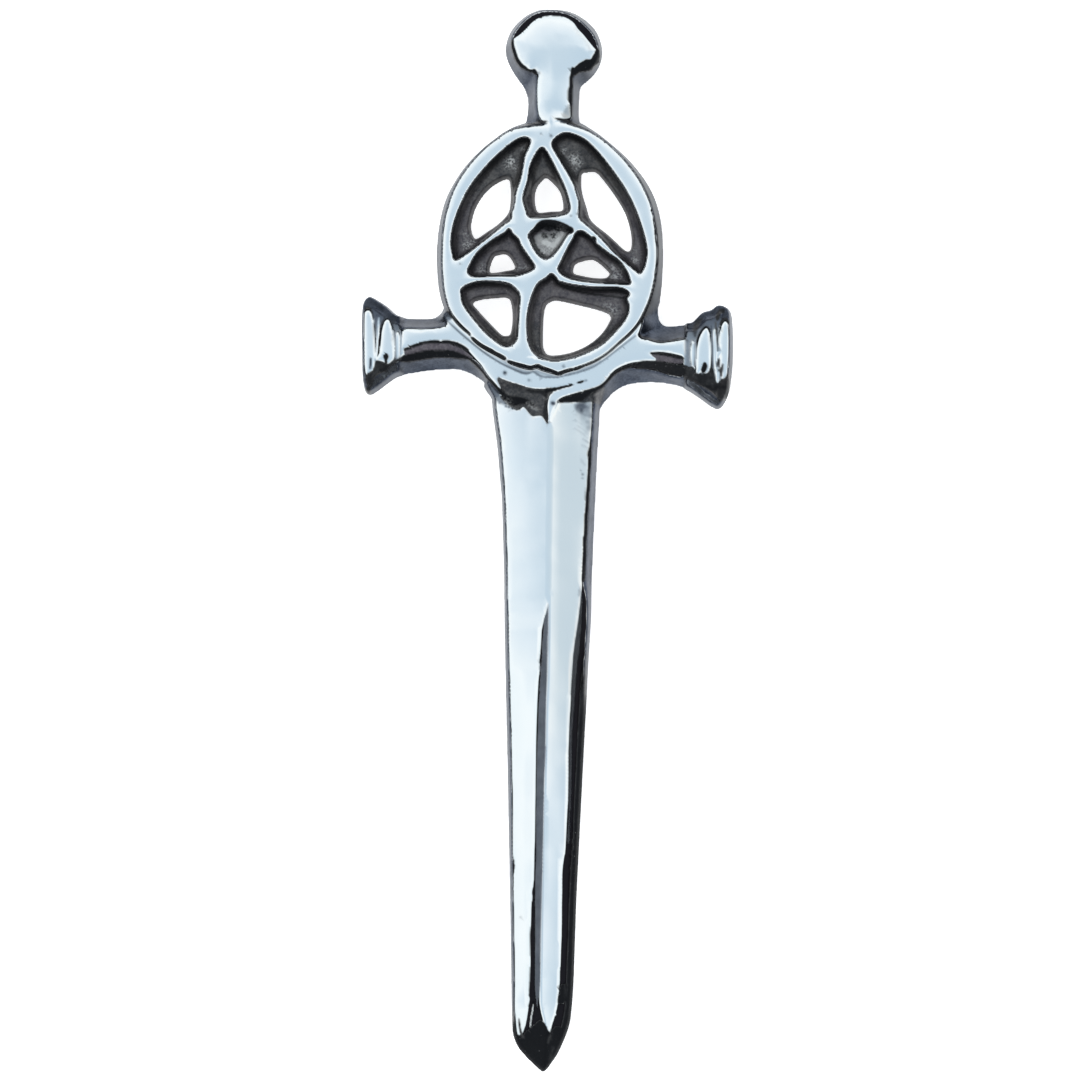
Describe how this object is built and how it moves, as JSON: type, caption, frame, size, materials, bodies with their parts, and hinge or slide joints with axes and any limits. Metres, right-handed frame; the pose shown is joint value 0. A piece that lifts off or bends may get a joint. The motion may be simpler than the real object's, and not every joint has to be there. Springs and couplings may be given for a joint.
{
  "type": "kilt pin",
  "caption": "Sword-shaped kilt pin with an openwork trinity-knot medallion between grip and cross guard, and a plain brooch pin on its flat back.",
  "frame": {"origin": "on the floor under the middle of the outline, the pin lying face up on its brooch fitting", "axes": "+Z out of the decorated face, +Y along the blade's axis towards the pommel, +X to the right seen from the front"},
  "size_m": [0.0378, 0.108, 0.0082],
  "materials": {
    "polished_cast": "mirror-polished plating on the high faces, satin grey cast sides, blackened pitted recesses, fine scratches",
    "pin_steel": "plain drawn wire and stamped pads, slightly dulled at the solder"
  },
  "bodies": {
    "root": {"sword": "polished_cast", "pin_clasp": "pin_steel"}
  },
  "joints": []
}
